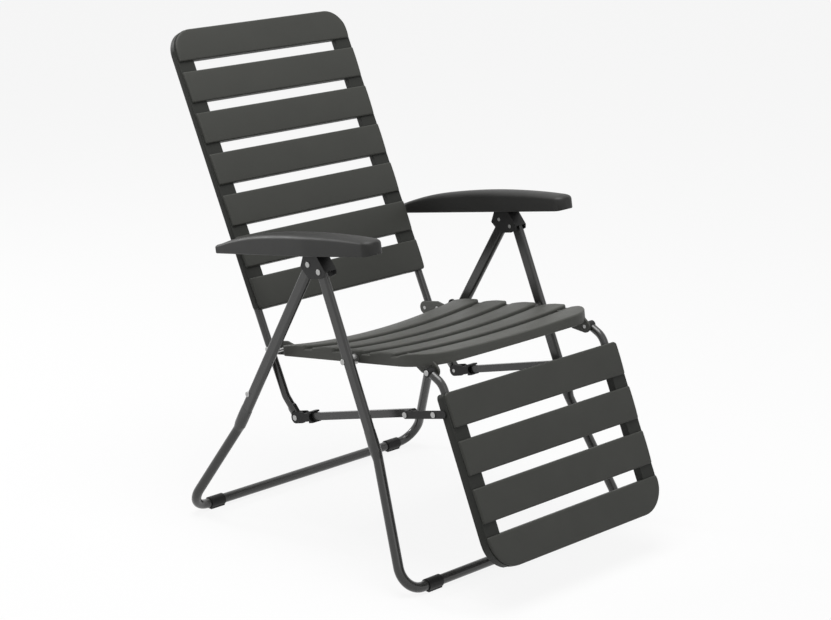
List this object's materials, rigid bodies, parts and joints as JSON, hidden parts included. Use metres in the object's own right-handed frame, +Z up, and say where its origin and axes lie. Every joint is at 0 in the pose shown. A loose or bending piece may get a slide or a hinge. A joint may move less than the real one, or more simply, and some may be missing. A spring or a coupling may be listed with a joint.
{
  "type": "reclining garden armchair",
  "caption": "Reclining garden chair with a slatted moulded back, dished seat, hinged footrest, tapered arms and a folding flat-oval tube frame.",
  "frame": {"origin": "middle of the overall footprint, on the floor", "axes": "+Z up, the sitter faces -Y, +X to the sitter's left seen from the front right"},
  "size_m": [0.6916, 1.0024, 1.0328],
  "materials": {
    "moulding": "fine textured",
    "tube": "satin powder coat",
    "joint_plastic": "smooth",
    "plate": "satin powder coat",
    "rivet": "plated"
  },
  "bodies": {
    "frame": {"front_runner": "tube", "front_sleeves": "joint_plastic", "front_leg_left": "tube", "front_leg_right": "tube", "bracket_left": "plate", "bracket_right": "plate", "rear_bracket_rivets": "rivet", "front_bracket_rivets": "rivet", "seat_panel": "moulding", "seat_bolts": "rivet", "seat_knobs": "rivet", "back_hinge_pins": "rivet", "foot_hinge_pins": "rivet"},
    "rear_legs": {"rear_leg_left": "tube", "rear_leg_right": "tube", "rear_runner": "tube", "rear_sleeves": "joint_plastic", "link_rivets": "rivet"},
    "links": {"rear_link_left": "plate", "rear_link_right": "plate"},
    "back": {"back_panel": "moulding", "back_stile_left": "tube", "back_stile_right": "tube", "arm_bolts": "rivet"},
    "arms": {"arm_left": "moulding", "arm_right": "moulding"},
    "rods": {"rod_left": "tube", "rod_right": "tube", "rod_fork_left": "joint_plastic", "rod_fork_right": "joint_plastic", "rod_pins": "rivet"},
    "footrest": {"foot_panel": "moulding", "foot_stile_left": "tube", "foot_stile_right": "tube", "foot_knuckles": "joint_plastic", "foot_lever_left": "plate", "foot_lever_right": "plate", "lever_rivets": "rivet"}
  },
  "joints": [
    {"name": "fold", "type": "hinge", "parent": "frame", "child": "rear_legs", "pos_m": [0, -0.00297, 0.62], "axis": [-1, 0, 0], "range_deg": [0, 42]},
    {"name": "link_swing", "type": "hinge", "parent": "rear_legs", "child": "links", "pos_m": [0, 0.19703, 0.299], "axis": [-1, 0, 0], "range_deg": [-8, 0]},
    {"name": "recline", "type": "hinge", "parent": "frame", "child": "back", "pos_m": [0, 0.18422, 0.3909], "axis": [-1, 0, 0], "range_deg": [0, 38]},
    {"name": "arm_tilt", "type": "hinge", "parent": "back", "child": "arms", "pos_m": [0, 0.2864, 0.59584], "axis": [-1, 0, 0], "range_deg": [-26, 0]},
    {"name": "rod_swing", "type": "hinge", "parent": "back", "child": "rods", "pos_m": [0, 0.09903, 0.259], "axis": [-1, 0, 0], "range_deg": [-53, 0]},
    {"name": "footrest_lift", "type": "hinge", "parent": "frame", "child": "footrest", "pos_m": [0, -0.29397, 0.446], "axis": [-1, 0, 0], "range_deg": [0, 50]}
  ],
  "couplings": [
    {"joint": "link_swing", "follows": "fold", "ratio": -0.15},
    {"joint": "arm_tilt", "follows": "recline", "ratio": -0.668},
    {"joint": "rod_swing", "follows": "recline", "ratio": -1.38},
    {"joint": "footrest_lift", "follows": "recline", "ratio": 1.22}
  ]
}
